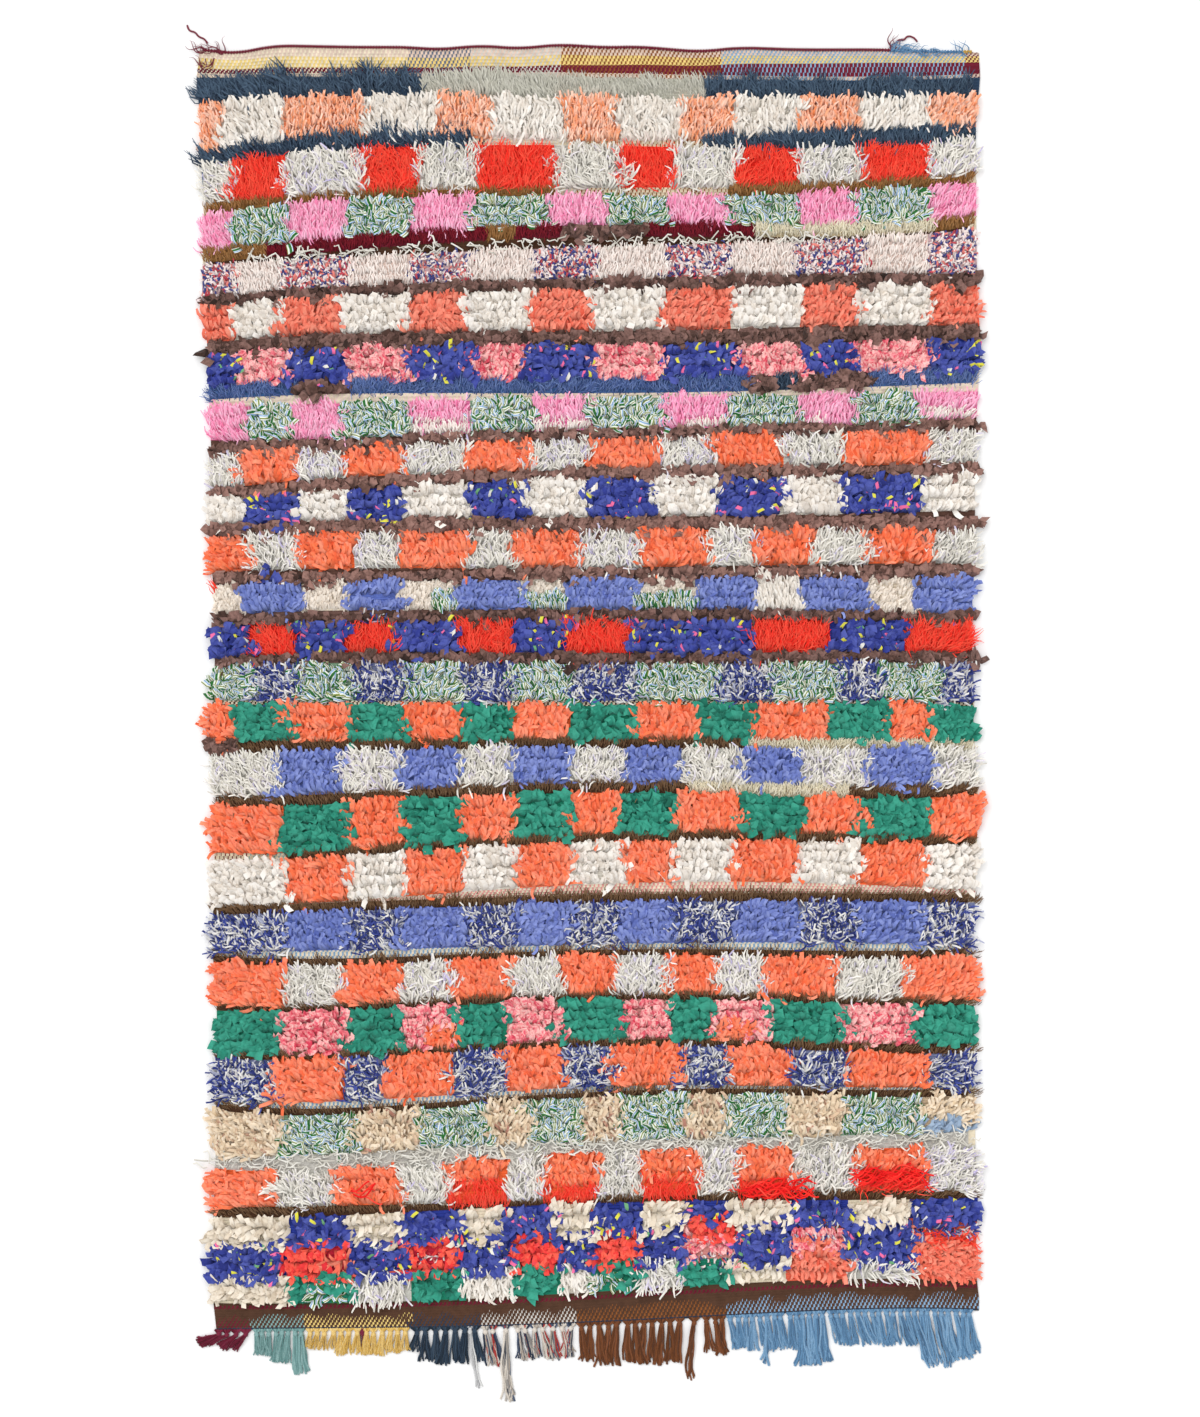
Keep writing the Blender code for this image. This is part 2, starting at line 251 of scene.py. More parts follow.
# The colours of the yarns, and of the ground in each band of cloth
DYES = {
    "cream": "E9DCC2", "oatmeal": "DEC6B4", "straw": "E9CC7E", "maroon": "6E1B2E", "navy": "2C4058",
    "grey": "B9B7A8", "camel": "8B6333", "taupe": "6B5048", "denim": "3D6296", "umber": "4A3020",
    "khaki": "B8A684",
    "teal": "86ACAA", "ink": "2E3C50", "chalk": "CFCBC4", "russet": "8A5228", "sky": "86A9C8",
    "bistre": "54392A", "bare": "DCCFB2", "peach": "F08F66", "ivory": "E4DDD0", "greywhite": "CDCBC2",
    "red": "E8291C", "pink": "F27DB0", "leafprint": "86A98A", "confetti": "C9A9AE", "blush": "EAD3C8",
    "coral": "EE6A4E", "blueprint": "2C3C98", "strawberry": "E49A94", "orange": "F56A38",
    "chocolate": "5E4238", "periwinkle": "6478C6", "navymarl": "7E86AC", "emerald": "1F8468",
    "sand": "D8BE9E", "crimson": "D02A40", "calico": "E4D6C0", "linen": "E4DDD0", "slate": "687082",
}

rug_low, rug_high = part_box("rug_body")
LEFT_WANDER = 1.39  # centimetres that the left side goes past the starting corner
FIRST_PICK = 0.16  # centimetres from the head of the chart to the first pick
left_x = rug_low[0] + LEFT_WANDER * CM
head_y = rug_high[1] + FIRST_PICK * CM


def foot_line(feet, across):
    """How far down a woven row ends, for each place across, as one smooth line."""
    return np.polyval(np.polyfit(STATIONS, feet, 4), across)


def dye_at(yarns, seams, across):
    """The yarn that a row shows at this place across."""
    names = yarns.split()
    return names[sum(across > seam for seam in seams) % len(names)]


def finish_piece(name, mesh, material, slot, *nodes):
    """Puts a finished mesh in the scene as one piece of the rug, in place of these CAD nodes."""
    mesh.materials.append(material)
    piece = bpy.data.objects.new(name, mesh)
    scene.collection.objects.link(piece)
    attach(piece, "root")
    if nodes:
        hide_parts(*nodes)
    return piece


def head_line(across):
    """How far down the starting cord lies at this place across."""
    nearby = across + np.arange(-3, 4)
    return float(np.mean(np.interp(nearby, HEAD_WAVE[:, 0], HEAD_WAVE[:, 1])))


GROUND_COLUMNS = 112
GROUND_TOP = 0.34
GROUND_THICK = 0.3
SWELL_SIZE = 9  # from one soft rise of the ground to the next
SWELL_HEIGHT = 0.03
HEAD_CLEAR = 0.1  # from the starting cord's line to the first weft
HEAD_WAVE_END = 6  # how far down the ground still follows the head's wave
# How far inside the two sides the ground ends: down, and centimetres in
SELVEDGE = np.array([(0, -0.6), (6, -0.4), (12, 0.8), (236, 0.8), (242, 0.0), (249, 0.0)])
PICKS = {"wool": 1, "fade": 3}  # and two in every other kind of row
HEAD_END = 8  # how far down the head's own warp colours reach
FOOT_END = 240  # where the flat-woven end at the foot starts
WOOL_FROM = 1.6  # a row of wool pile stops short of both selvedges, which are cream
WOOL_TO = 148.2
# How much of the warps each kind of row lets show
PATTERN = {"dashes": 0.5, "fade": 0.97, "flecks": 0.97, "chequer": 0.96, "twill": 0.9}
picks = [(START, START, 0.0, CHART[0])]
head = START
for row in CHART:
    count = PICKS.get(row.kind, 2)
    picks += [(head, row.feet, (step + 1) / count, row) for step in range(count)]
    head = row.feet

bm = bmesh.new()
bmesh.ops.create_grid(bm, x_segments=GROUND_COLUMNS, y_segments=len(picks) - 1, size=0.5)
weave_map = bm.loops.layers.uv.new("weave")
weft_layer = bm.loops.layers.float_color.new("weft")
second_layer = bm.loops.layers.float_color.new("second")
pick_feet = [
    np.array(before) + (np.array(after) - np.array(before)) * share
    for before, after, share, row in picks
]
pick_lines = [np.polyfit(STATIONS, feet, 4) for feet in pick_feet]
columns_of = {}
for vert in bm.verts:
    share, number = vert.co.x + 0.5, round((0.5 - vert.co.y) * (len(picks) - 1))
    down = np.polyval(pick_lines[number], share * CHART_WIDTH)
    inset = np.interp(down, SELVEDGE[:, 0], SELVEDGE[:, 1])
    left = np.interp(down, SIDES[:, 0], SIDES[:, 1]) + inset
    right = np.interp(down, SIDES[:, 0], SIDES[:, 2]) - inset
    across = left + (right - left) * share
    down = float(np.polyval(pick_lines[number], across))
    wave = head_line(across) + HEAD_CLEAR - float(foot_line(START, across))
    down += wave * max(0, 1 - down / HEAD_WAVE_END)
    swell = noise.noise(Vector((across / SWELL_SIZE, down / SWELL_SIZE, 2.0)))
    columns_of[vert] = (across, pick_feet[number][2], number)
    height = GROUND_TOP + SWELL_HEIGHT * swell
    vert.co = (left_x + across * CM, head_y - down * CM, height * CM)
for face in bm.faces:
    places = [columns_of[vert] for vert in face.verts]
    across = sum(place[0] for place in places) / len(places)
    down_middle = sum(place[1] for place in places) / len(places)
    row = picks[max(place[2] for place in places)][3]
    yarn = dye_at(row.yarns, row.seams, across)
    warps = HEAD_WARPS if down_middle < HEAD_END else WARPS
    warp = next(name for name, end in warps.items() if across <= end)
    if row.kind in ("dashes", "flecks"):
        yarn, warp = row.yarns.split()
    beside_pile = down_middle < FOOT_END and not WOOL_FROM < across < WOOL_TO
    if beside_pile and row.kind in ("wool", "loops", "flat"):
        yarn = "cream"
    pattern = PATTERN["twill"] if yarn == "bare" else PATTERN.get(row.kind, 0.0)
    for loop in face.loops:
        place = columns_of[loop.vert]
        if row.kind == "fade":
            pattern = 0.8 + 0.17 * (picks[place[2]][2] if picks[place[2]][3] is row else 0)
        loop[weave_map].uv = (place[0] * CM, place[1] * CM)
        loop[weft_layer] = (*linear(DYES[yarn])[:3], pattern)
        loop[second_layer] = linear(DYES[warp])
mesh = bpy.data.meshes.new("woven_ground")
bm.to_mesh(mesh)
bm.free()

# Hand-spun wool, flat-woven: matt and ribbed, with the warps winking through. The real warps are
# about 2.5 mm apart; they are drawn 8 mm apart so that they still show.
WARP_PITCH = 0.0082
WEFT_PITCH = 0.0056
SLANT = 0.35  # how far the warps' beads move along from one weft to the next, of their pitch
DASH_PITCH = 0.009
DASH_LEVEL = 0.86  # the sine above which a dash shows
LOOSE_PER_METRE = 26.0  # the weft is packed tighter and looser every 38 mm
SHADES_PER_METRE = 90.0  # and the wool's shade changes every 11 mm
material, shader = new_material("flat_woven_wool", roughness=0.92, specular=0.2)
uv = add_node(material, "UVMap", uv_map="weave")
split = add_node(material, "SeparateXYZ", {0: uv})
weft_count = add_node(material, "Math", {0: split.outputs["Y"], 1: 1 / WEFT_PITCH}, operation="MULTIPLY")
weft_number = add_node(material, "Math", {0: weft_count}, operation="FLOOR")
offset = add_node(material, "Math", {0: weft_number, 1: SLANT}, operation="MULTIPLY")
warp_count = add_node(
    material, "Math", {0: split.outputs["X"], 1: 1 / WARP_PITCH, 2: offset}, operation="MULTIPLY_ADD"
)
warp_phase = add_node(material, "Math", {0: warp_count, 1: math.tau}, operation="MULTIPLY")
bead = add_node(material, "Math", {0: warp_phase}, operation="COSINE")
weft_phase = add_node(material, "Math", {0: weft_count, 1: math.tau}, operation="MULTIPLY")
rib = add_node(material, "Math", {0: weft_phase}, operation="COSINE")
relief = add_node(material, "Math", {0: bead, 1: 0.6, 2: rib}, operation="MULTIPLY_ADD")
weft = add_node(material, "Attribute", attribute_name="weft")
second = add_node(material, "Attribute", attribute_name="second")
dash_phase = add_node(
    material, "Math", {0: split.outputs["X"], 1: math.tau / DASH_PITCH}, operation="MULTIPLY"
)
dash_wave = add_node(material, "Math", {0: dash_phase}, operation="SINE")
dash = add_node(material, "Math", {0: dash_wave, 1: DASH_LEVEL}, operation="GREATER_THAN")
patchy = add_node(material, "TexNoise", {"Vector": uv, "Scale": LOOSE_PER_METRE, "Detail": 3.0})
# A warp winks through where its bead dips; more of them where the weft is packed less tightly
packing = add_node(material, "Math", {0: weft.outputs["Alpha"], 1: 5.0, 2: -6.1}, operation="MULTIPLY_ADD")
looser = add_node(material, "Math", {0: patchy, 1: 2.0, 2: packing}, operation="MULTIPLY_ADD")
wink = add_node(material, "Math", {0: bead, 1: looser}, operation="LESS_THAN")
is_chequer = add_node(material, "Math", {0: weft.outputs["Alpha"], 1: 0.75}, operation="GREATER_THAN")
is_dashed = add_node(material, "Math", {0: weft.outputs["Alpha"], 1: 0.5, 2: 0.1}, operation="COMPARE")
chequered = add_node(material, "Math", {0: wink, 1: is_chequer}, operation="MULTIPLY")
showing = add_node(material, "Math", {0: dash, 1: is_dashed, 2: chequered}, operation="MULTIPLY_ADD")
dyed = add_node(material, "Mix", {0: showing, 6: weft, 7: second}, data_type="RGBA")
place = add_node(material, "TexCoord")
uneven = add_node(
    material, "TexNoise", {"Vector": place.outputs["Object"], "Scale": SHADES_PER_METRE, "Detail": 4.0}
)
fade = add_node(material, "MapRange", {0: uneven, 1: 0.25, 2: 0.75, 3: 0.78, 4: 1.12})
worn = add_node(
    material, "Mix", {0: 1.0, 6: dyed.outputs[2], 7: fade}, data_type="RGBA", blend_type="MULTIPLY"
)
bump = add_node(material, "Bump", {"Strength": 0.6, "Distance": 0.0008, "Height": relief})
plug(shader, {"Base Color": worn.outputs[2], "Normal": bump})

ground = finish_piece("woven_ground", mesh, material, "rag_pile", "rug_body")
solidify = ground.modifiers.new("thickness", "SOLIDIFY")
solidify.thickness = GROUND_THICK * CM
solidify.offset = -1.0

# The starting cord and its tails. Two plies of maroon wool, twisted along the first weft to hold
# the warps; blue was spliced in near the right corner. The ends were left hanging.
CORD_SIDES = 5
CORD_STEPS = 760
CORD_TURN = 1.1  # centimetres for one turn of the two plies
PLY_RADIUS = 0.19
CORD_LENGTH = 148.4
LOWEST = 0.05  # nothing hangs lower than this over the floor
CELL_EDGE = 0.08  # the empty edge round each end's place on the map


def rolled(radius_at, path_at, sides, steps):
    """A round yarn along a path, open at both ends: its points, its faces, and where each point is."""
    bm = bmesh.new()
    bmesh.ops.create_grid(bm, x_segments=sides, y_segments=steps, size=0.5)
    places = []
    for vert in bm.verts:
        around, along = vert.co.x + 0.5, vert.co.y + 0.5
        ahead = Vector(path_at(along + 0.005)) - Vector(path_at(along - 0.005))
        side = ahead.cross(Vector((0, 0, 1))).normalized()
        over = side.cross(ahead).normalized()
        turn = around * math.tau
        vert.co = Vector(path_at(along)) + (side * math.cos(turn) - over * math.sin(turn)) * radius_at(along)
        places.append((around, along))
    bm.verts.index_update()
    coords = np.array([vert.co for vert in bm.verts])
    faces = np.array([[vert.index for vert in face.verts] for face in bm.faces])
    bm.free()
    return coords, faces, np.array(places)


def joined(name, ends, spots, smooth=False):
    """One mesh of many small ends. A spot: across, down, height, yaw, reach, rise, tone, pick, variant."""
    cells = math.ceil(math.sqrt(len(spots)))
    vertices, faces, strip, uvs = [], [], [], []
    count = 0
    for variant, (coords, quads, places) in enumerate(ends):
        chosen = np.flatnonzero(spots[:, 8].astype(int) == variant)
        mine = spots[chosen]
        if not len(mine):
            continue
        turned = coords[None] * mine[:, None, [4, 4, 5]]
        cos, sin = np.cos(mine[:, 3])[:, None], np.sin(mine[:, 3])[:, None]
        x = turned[:, :, 0] * cos - turned[:, :, 1] * sin + mine[:, 0:1]
        y = turned[:, :, 0] * sin + turned[:, :, 1] * cos - mine[:, 1:2]
        z = turned[:, :, 2] + mine[:, 2:3]
        lifted = np.maximum(z, LOWEST)
        vertices.append(np.stack([left_x + x * CM, head_y + y * CM, lifted * CM], 2).reshape(-1, 3))
        starts = count + np.arange(len(mine)) * len(coords)
        faces.append((quads[None] + starts[:, None, None]).reshape(-1, 4))
        count += len(mine) * len(coords)
        tone = np.repeat(mine[:, 6:8], len(coords), 0)
        strip.append(np.hstack([tone, np.tile(places[:, ::-1], (len(mine), 1))]))
        inside = CELL_EDGE + (1 - 2 * CELL_EDGE) * places[None]
        cell = np.stack([chosen % cells, chosen // cells], 1)[:, None] + inside
        uvs.append((cell / cells).reshape(-1, 2))
    vertices, faces, strip, uvs = (np.concatenate(part) for part in (vertices, faces, strip, uvs))
    mesh = bpy.data.meshes.new(name)
    mesh.from_pydata(vertices.tolist(), [], faces.tolist())
    colours = mesh.attributes.new("strip", "FLOAT_COLOR", "POINT")
    colours.data.foreach_set("color", strip.astype(np.float32).ravel())
    uv_map = mesh.uv_layers.new(name="OFBake")
    uv_map.uv.foreach_set("vector", uvs[faces.ravel()].astype(np.float32).ravel())
    if smooth:
        mesh.shade_smooth()
    return mesh


def cord_path(phase):
    """One ply's path along the head of the rug, from this place in its turn."""
    def path_at(along):
        across = 0.3 + CORD_LENGTH * along
        turn = math.tau * (across / CORD_TURN + phase)
        down = head_line(across)
        return across, PLY_RADIUS * math.cos(turn) - down, 0.4 + PLY_RADIUS * math.sin(turn)
    return path_at


plies = [
    rolled(lambda along: PLY_RADIUS * 1.1, cord_path(phase), CORD_SIDES, CORD_STEPS) for phase in (0.0, 0.5)
]
spots = np.array([(0, 0, 0, 0, 1, 1, 0.5, 0.5, ply) for ply in range(2)])
mesh = joined("starting_cord_plies", plies, spots, smooth=True)
mesh.uv_layers.remove(mesh.uv_layers["OFBake"])

# Spun and plied wool, matt and hairy: maroon, a little faded every 3.3 mm, then blue from the
# splice to the right corner
material, shader = new_material("plied_maroon_wool", roughness=0.9, specular=0.15, sheen=0.2)
strip = add_node(material, "Attribute", attribute_name="strip")
parts = add_node(material, "SeparateColor", {0: strip})
SPLICE = 132.5 / CORD_LENGTH
dyed = add_node(
    material, "ValToRGB", {0: parts.outputs["Blue"]},
    stops=[(0.0, "7A1E34"), (SPLICE, "5A85AE"), (0.985, "C9A24E")],
)
dyed.color_ramp.interpolation = "CONSTANT"
place = add_node(material, "TexCoord")
uneven = add_node(material, "TexNoise", {"Vector": place.outputs["Object"], "Scale": 300.0, "Detail": 3.0})
fade = add_node(material, "MapRange", {0: uneven, 1: 0.3, 2: 0.7, 3: 0.65, 4: 1.15})
worn = add_node(material, "Mix", {0: 1.0, 6: dyed, 7: fade}, data_type="RGBA", blend_type="MULTIPLY")
plug(shader, {"Base Color": worn.outputs[2]})
cord_piece = finish_piece("starting_cord_plies", mesh, material, "twined_wool", "starting_cord")

TAIL_RADIUS = 0.18
# Each tail's CAD solid, and the places it passes through, across and up from the head
TAILS = {
    "left_tail": (
        "corner_tail_left",
        ((0.9, 0.9), (0.2, 1.7), (-0.8, 2.2), (-1.6, 3.0), (-2.6, 3.4), (-3.1, 4.4)),
    ),
    "right_tail": (
        "corner_tail_right",
        ((134.0, 0.8), (134.6, 1.5), (135.6, 1.6), (136.3, 2.2), (137.4, 2.0), (138.2, 1.2)),
    ),
}
# Single maroon wool, hairy and matt, its shade changing every 2 mm
material, shader = new_material("loose_maroon_wool", roughness=0.9, specular=0.5, sheen=0.2)
place = add_node(material, "TexCoord")
uneven = add_node(material, "TexNoise", {"Vector": place.outputs["Object"], "Scale": 500.0, "Detail": 3.0})
dyed = add_node(
    material, "ValToRGB", {0: uneven}, stops=[(0.3, "4E1022"), (0.55, "7A1E34"), (0.8, "93354A")]
)
plug(shader, {"Base Color": dyed})
# The same wool, dyed light blue
blue = material.copy()
blue.name = "loose_blue_wool"
ramp = next(node for node in blue.node_tree.nodes if node.type == "VALTORGB").color_ramp
for stop, shade in zip(ramp.elements, ("42698E", "6A93B8", "8CB0CE")):
    stop.color = linear(shade)
for name, (node, points) in TAILS.items():
    curve = bpy.data.curves.new(name, "CURVE")
    curve.dimensions = "3D"
    curve.bevel_depth = TAIL_RADIUS * CM
    curve.bevel_resolution = 2
    curve.resolution_u = 8
    spline = curve.splines.new("BEZIER")
    spline.bezier_points.add(len(points) - 1)
    for point, (across, up) in zip(spline.bezier_points, points):
        point.co = (left_x + across * CM, head_y + up * CM, TAIL_RADIUS * CM)
        point.handle_left_type = point.handle_right_type = "AUTO"
    curve.materials.append(material)
    tail = bpy.data.objects.new(name, curve)
    scene.collection.objects.link(tail)
    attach(tail, "root")
    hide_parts(node)
    bpy.context.view_layer.update()


def fray_path(bend):
    """A frayed end that leaves the cord, winds a little and comes back down to the floor."""
    return lambda along: (
        0.5 * math.sin(bend + 5 * along), 3.0 * along, 0.5 * math.sin(math.pi * along)
    )


frays = [rolled(lambda along: 0.12 * (1.15 - along), fray_path(bend), 4, 7) for bend in range(5)]
# Where each tuft of frayed ends starts, across and down, which way it points and how many it has
FRAYS = {
    "maroon_frays": (material, [
        (0.6, 0.8, 0.9, 9), (3.6, 1.2, 0.7, 7), (1.6, 2.6, 2.6, 6), (0.2, 3.4, 1.4, 5),
        (133.6, 0.2, -0.5, 5),
    ]),
    "blue_frays": (blue, [
        (133.4, 0.3, -1.1, 9), (135.6, 0.5, -1.5, 9), (138.4, 0.8, -1.5, 7), (141.4, 1.0, -1.55, 5),
        (147.4, 1.3, 0.4, 5),
    ]),
}
bends = np.random.default_rng(7)
for name, (wool, tufts) in FRAYS.items():
    spots = [
        (
            across + bends.normal(0, 0.4), down + bends.normal(0, 0.3), 0.3,
            yaw + bends.normal(0, 0.45 if yaw > -1 else 0.15), bends.uniform(0.5, 1.3), 1.0,
            bends.uniform(), bends.uniform(), bends.integers(len(frays)),
        )
        for across, down, yaw, count in tufts
        for number in range(count)
    ]
    mesh = joined(name, frays, np.array(spots), smooth=True)
    finish_piece(name, mesh, wool, "loose_wool")

# The pile. Worn-out clothes are cut into strips and knotted round the warps, both ends of each left
# standing; every cloth has its own strips, some wide as petals and some thin as string. Short rows
# of felted wool stand between the bands. Nearly all of it leans towards the head of the rug.
# A strip's width and length, the gap to the next one and the space between lines are in
# centimetres; folds and steps are its faces across and along; swing and rise are in degrees; taper
# is the share of its width that it loses towards the cut end.
Cloth = namedtuple("Cloth", "width length gap spacing folds steps swing rise taper shades")
CLOTHS = {
    "ivory": Cloth(0.62, 2.9, 0.33, 2.1, 1, 3, 24, 54, 0.2, "E2D8CC EFE7DD F8F3EC E8E0D5"),
    "cream": Cloth(1.1, 2.8, 0.50, 2.0, 1, 3, 28, 60, 0.1, "CABAA4 E2D4C0 F2E8D8 D6C8B2"),
    "emerald": Cloth(1.8, 2.3, 0.72, 1.9, 2, 3, 48, 62, 0.0, "1C6856 288872 40A28A 227C68"),
    "blueprint": Cloth(1.5, 2.5, 0.64, 1.9, 2, 3, 50, 64, 0.0, "252E76 343F92 535EAC 2C3788"),
    "strawberry": Cloth(1.05, 2.5, 0.42, 1.9, 1, 3, 42, 58, 0.0, "D84058 F0808A FFCCC6 E85C70"),
    "taupe": Cloth(1.6, 2.3, 0.62, 0.9, 2, 2, 60, 62, 0.0, "32241F 60463E 906E66 4C362F"),
    "chocolate": Cloth(1.6, 2.3, 0.62, 0.9, 2, 2, 60, 64, 0.0, "3E2B25 70524A A07A70 5A4037"),
    "periwinkle": Cloth(0.72, 2.8, 0.31, 2.0, 1, 3, 32, 52, 0.1, "5868B2 7080C6 8E9CD8 6472BC"),
    "orange": Cloth(0.8, 3.0, 0.30, 1.9, 1, 3, 30, 47, 0.15, "EE6038 FC7C50 FF9A7A F66C42"),
    "crimson": Cloth(1.1, 2.4, 0.50, 1.9, 1, 3, 46, 58, 0.1, "DC2C38 F24440 FF6C56 F04C54"),
    "azure": Cloth(0.8, 2.4, 0.50, 1.0, 1, 2, 20, 40, 0.1, "7890B0 90A8C4 A8BCD2 8499B8"),
    "coral": Cloth(0.8, 2.6, 0.33, 1.9, 1, 3, 30, 54, 0.2, "E65E46 F27C64 F89880 EC6850"),
    "peach": Cloth(0.5, 2.6, 0.26, 2.0, 1, 3, 18, 55, 0.2, "F48E58 FDB086 FFD6C0 F89C6C"),
    "greywhite": Cloth(0.46, 3.1, 0.23, 2.0, 1, 3, 32, 47, 0.3, "CCC7BE E8E4DA F8F4EC C6BCE2"),
    "sand": Cloth(0.7, 3.0, 0.32, 2.0, 1, 3, 36, 46, 0.2, "B07C6C DCC0A2 E6D2B4 F4E4CE DCC29E"),
    "blush": Cloth(0.34, 1.9, 0.22, 1.7, 1, 3, 14, 50, 0.3, "F2DED6 FBEEE6 FEF6F0 F6E4DC"),
    "red": Cloth(0.34, 3.2, 0.18, 1.9, 1, 3, 28, 44, 0.7, "FF2A1C FF4030 FF6048 FF3426"),
    "pink": Cloth(0.40, 2.5, 0.20, 1.8, 1, 3, 18, 46, 0.4, "FA86B6 FFA4CA FFC8E0 FF96C0"),
    "leafprint": Cloth(1.1, 2.4, 0.44, 1.7, 1, 3, 44, 54, 0.0, "2E7238 F0F4F2 86AEE0 8A9440"),
    "navymarl": Cloth(
        0.40, 2.6, 0.23, 1.9, 1, 3, 54, 54, 0.2, "2E3878 DAD8D8 46529C A8ACC4 E8E6E2 38448C",
    ),
    "confetti": Cloth(
        0.42, 1.4, 0.25, 1.3, 1, 3, 50, 60, 0.1, "F6E4E0 C04854 F4E6E2 3E4482 EADADA E8867C 484E8C F6EAE6",
    ),
    "navy": Cloth(0.3, 2.2, 0.25, 0.8, 1, 2, 26, 50, 0.85, "222E40 36465A 52687E 2C3A4C"),
    "grey": Cloth(0.3, 1.5, 0.25, 0.8, 1, 2, 14, 45, 0.8, "B2B0A2 C8C6B8 DAD8CC BCBAAC"),
    "camel": Cloth(0.3, 1.8, 0.25, 0.7, 1, 2, 12, 58, 0.7, "7C5028 986838 AE8050 885A2E"),
    "maroon": Cloth(0.3, 1.8, 0.25, 0.7, 1, 2, 14, 52, 0.7, "580A18 721020 861C2C 62101C"),
    "denim": Cloth(0.3, 2.2, 0.25, 0.8, 1, 2, 30, 50, 0.8, "385084 5068A4 7890C6 405694"),
    "umber": Cloth(0.3, 1.7, 0.25, 0.7, 1, 2, 14, 58, 0.7, "523724 6C4E34 886A4E 5C422C"),
    "khaki": Cloth(0.3, 1.7, 0.25, 0.7, 1, 2, 16, 55, 0.7, "D8CCA8 ECE2C4 F6EED8 E0D4B2"),
    "calico": Cloth(0.6, 1.5, 0.28, 1.5, 1, 3, 10, 34, 0.1, "DCCEBC F0E4D6 F8EEE2 E6D8C8"),
    "linen": Cloth(1.15, 2.5, 0.46, 1.9, 1, 3, 26, 50, 0.1, "E4DACE F0E8DE FAF5EF EAE2D8"),
}
WOOLS = ("navy", "grey", "camel", "maroon", "denim", "umber", "khaki")
# Painted shade: each strip's colour is darkened towards its root, as if in the shade between the knots. The
# root keeps this share of its colour, and more in the light cloths listed next.
PAINTED_ROOT_LIGHT = 0.64  # how much light the root of a strip keeps
LIGHTER_PAINTED_ROOTS = {"red": 0.9, "pink": 0.9, "ivory": 0.82, "calico": 0.86, "linen": 0.8}  # and where it is more
SMOOTH = ("orange", "periwinkle", "coral", "red", "pink", "blush", "peach", *WOOLS)
PRINTS = ("leafprint", "navymarl", "confetti")
# Odd patches where the weaver ran out of one cloth: the cloth, and its place across and down
Patch = namedtuple("Patch", "cloth left right top foot")
PATCHES = [
    Patch("blush", 40.0, 51.5, 72.6, 76.0),
    Patch("blush", 64.0, 75.0, 72.2, 75.0),
    Patch("blush", 137.5, 152.0, 70.3, 72.0),
    Patch("blush", 93.0, 101.0, 72.5, 74.0),
    Patch("blush", 115.0, 120.0, 71.8, 74.0),
    Patch("leafprint", 44.8, 49.0, 106.4, 109.4),
    Patch("leafprint", 61.5, 70.5, 107.0, 109.4),
    Patch("leafprint", 83.0, 95.5, 107.0, 109.4),
    Patch("ivory", 107.0, 115.5, 103.4, 109.8),
    Patch("orange", 43.0, 49.0, 190.0, 194.0),
    Patch("orange", 99.0, 106.0, 189.5, 192.5),
    Patch("red", 47.5, 59.0, 220.5, 225.0),
    Patch("red", 66.0, 76.0, 220.5, 224.5),
    Patch("red", 85.0, 95.5, 219.5, 224.0),
    Patch("red", 103.5, 113.5, 220.0, 223.5),
    Patch("red", 126.0, 138.5, 217.8, 221.8),
    Patch("leafprint", 20.0, 28.0, 240.0, 243.5),
    Patch("leafprint", 75.0, 82.0, 238.5, 241.5),
    Patch("confetti", 40.5, 47.0, 232.5, 236.0),
    Patch("confetti", 95.0, 102.0, 233.0, 236.0),
    Patch("coral", 24.0, 29.0, 233.0, 237.0),
    Patch("navymarl", 113.0, 125.0, 226.9, 229.2),
    Patch("navymarl", 137.0, 152.0, 226.9, 229.2),
    Patch("strawberry", 113.5, 124.0, 229.4, 231.8),
    Patch("red", 137.5, 152.0, 229.4, 231.6),
    Patch("crimson", 93.5, 103.5, 226.8, 229.6),
    Patch("azure", 138.0, 149.5, 208.0, 210.5),
    Patch("azure", 103.0, 106.0, 211.0, 213.0),
    Patch("navymarl", 31.5, 34.7, 109.4, 111.4),
    Patch("blueprint", 11.0, 14.0, 101.2, 103.4),
    Patch("red", -1.0, 3.2, 104.0, 106.2),
    Patch("taupe", -1.0, 6.8, 134.2, 137.6),
]
rng = np.random.default_rng(12)
VARIANTS = 10


def cut_ends(cloth, seed):
    """Several ways for one cut end to stand from its knot: up, over and curled."""
    bends = np.random.default_rng(seed)
    ends = []
    for variant in range(VARIANTS):
        rise = math.radians(cloth.rise + bends.uniform(-12, 12))
        droop = math.radians(bends.uniform(-28, 22))
        twist = math.radians(bends.uniform(-60, 60))
        cup = bends.uniform(-0.5, 0.9)
        sway = bends.uniform(-0.22, 0.22) * cloth.length
        slant = bends.uniform(-0.5, 0.5)
        bm = bmesh.new()
        bmesh.ops.create_grid(bm, x_segments=cloth.folds, y_segments=cloth.steps, size=0.5)
        places = []
        for vert in bm.verts:
            side, along = vert.co.x, vert.co.y + 0.5
            angle = rise + (droop - rise) * along
            reach = (math.sin(angle) - math.sin(rise)) / (droop - rise)
            lift = (math.cos(rise) - math.cos(angle)) / (droop - rise)
            normal = Vector((0, -math.sin(angle), math.cos(angle)))
            roll = twist * along
            sideways = Vector((math.cos(roll), 0, 0)) + normal * math.sin(roll)
            width = cloth.width * (0.65 + 0.35 * math.sqrt(along)) * (1 - cloth.taper * along)
            crease = cup * (0.25 - side * side) * width
            bow = Vector((sway * math.sin(math.pi * along), slant * side * width * along, 0))
            spine = Vector((0, reach, lift)) * cloth.length
            vert.co = spine + sideways * side * width + normal * crease + bow
            places.append((side + 0.5, along))
        bm.verts.index_update()
        coords = np.array([vert.co for vert in bm.verts])
        faces = np.array([[vert.index for vert in face.verts] for face in bm.faces])
        bm.free()
        ends.append((coords, faces, np.array(places)))
    return ends


